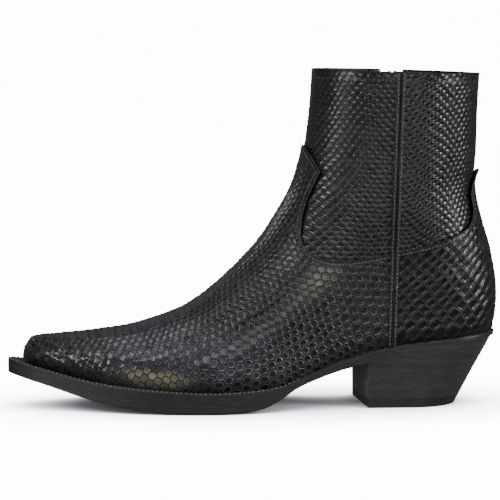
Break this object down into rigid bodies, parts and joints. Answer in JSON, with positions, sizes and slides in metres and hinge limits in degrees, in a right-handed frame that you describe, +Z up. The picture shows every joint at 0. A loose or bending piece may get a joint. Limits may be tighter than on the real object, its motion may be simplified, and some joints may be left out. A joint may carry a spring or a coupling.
{
  "type": "western ankle boot",
  "caption": "Pointed-toe western ankle boot in scaled leather: side zip on the inner side, welted sole, slanted stacked heel.",
  "frame": {"origin": "on the ground, under the middle of the bounding box", "axes": "+X from the toe to the heel, +Z up, -Y towards the outer side of the foot"},
  "size_m": [0.3109, 0.0969, 0.2125],
  "materials": {
    "upper": "satin embossed scales",
    "lining": "matte",
    "board": "matte",
    "cork": "matte",
    "sole": "polished edge",
    "rubber": "matte",
    "steel": "brushed",
    "brass": "dull",
    "tape": "woven",
    "zip_metal": "dark nickel"
  },
  "bodies": {
    "boot": {"vamp": "upper", "heel_counter": "upper", "shaft_front": "upper", "shaft_back": "upper", "side_strip": "upper", "zip_end_strip": "upper", "toe_puff": "board", "vamp_backing": "lining", "heel_stiffener": "board", "vamp_lining": "lining", "shaft_lining": "lining", "heel_grip": "lining", "insole_board": "board", "footbed": "lining", "cork_filler": "cork", "shank": "steel", "welt": "sole", "heel_rand": "sole", "midsole": "sole", "outsole": "sole", "heel_wedge": "sole", "heel_lift_1": "sole", "heel_lift_2": "sole", "heel_lift_3": "sole", "heel_lift_4": "sole", "top_lift": "rubber", "heel_nails": "steel", "top_lift_nails": "brass", "zip_tape_front": "tape", "zip_tape_back": "tape", "zip_teeth_front": "zip_metal", "zip_teeth_back": "zip_metal", "zip_top_stops": "zip_metal", "zip_bottom_stop": "zip_metal", "zip_guard": "lining"},
    "slider": {"zip_slider": "zip_metal"},
    "pull": {"zip_pull": "zip_metal"}
  },
  "joints": [
    {"name": "zip_slide", "type": "slide", "parent": "boot", "child": "slider", "axis": [0, -0.0489, -0.9988], "range_m": [0, 0.136], "deforming": ["zip_teeth_front", "zip_teeth_back"]},
    {"name": "pull_hinge", "type": "hinge", "parent": "slider", "child": "pull", "pos_m": [0.0924, 0.03842, 0.20139], "axis": [1, 0, 0], "range_deg": [0, 150]}
  ]
}
